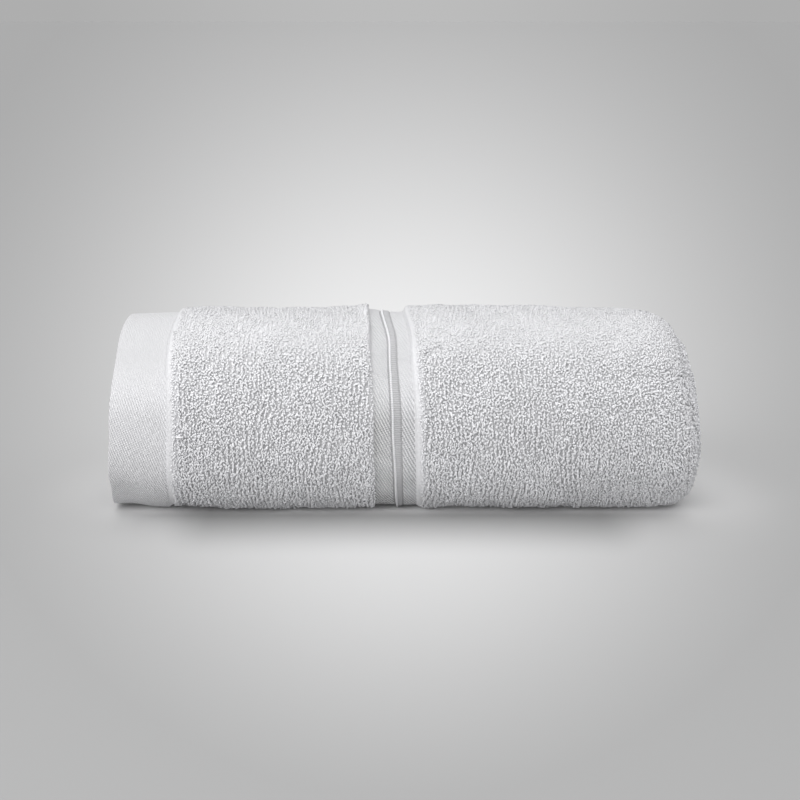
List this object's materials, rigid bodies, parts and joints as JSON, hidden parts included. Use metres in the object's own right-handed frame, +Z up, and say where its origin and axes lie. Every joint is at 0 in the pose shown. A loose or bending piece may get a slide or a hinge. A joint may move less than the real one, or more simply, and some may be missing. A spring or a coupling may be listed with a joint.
{
  "type": "rolled face towel",
  "caption": "White terry face towel folded in three and rolled up, with a flat woven heading at one end and a flat border with a raised rib round its middle.",
  "frame": {"origin": "bottom centre of the bounding box, on the surface that the roll lies on", "axes": "+X along the roll, from the end with the flat heading to the domed folded end; +Z up; the front, which shows the border, faces -Y"},
  "size_m": [0.282, 0.0928, 0.0956],
  "materials": {
    "terry_cloth": "white looped cotton terry, matt, with a flat twill heading and border"
  },
  "bodies": {
    "root": {"towel_roll": "terry_cloth"}
  },
  "joints": []
}
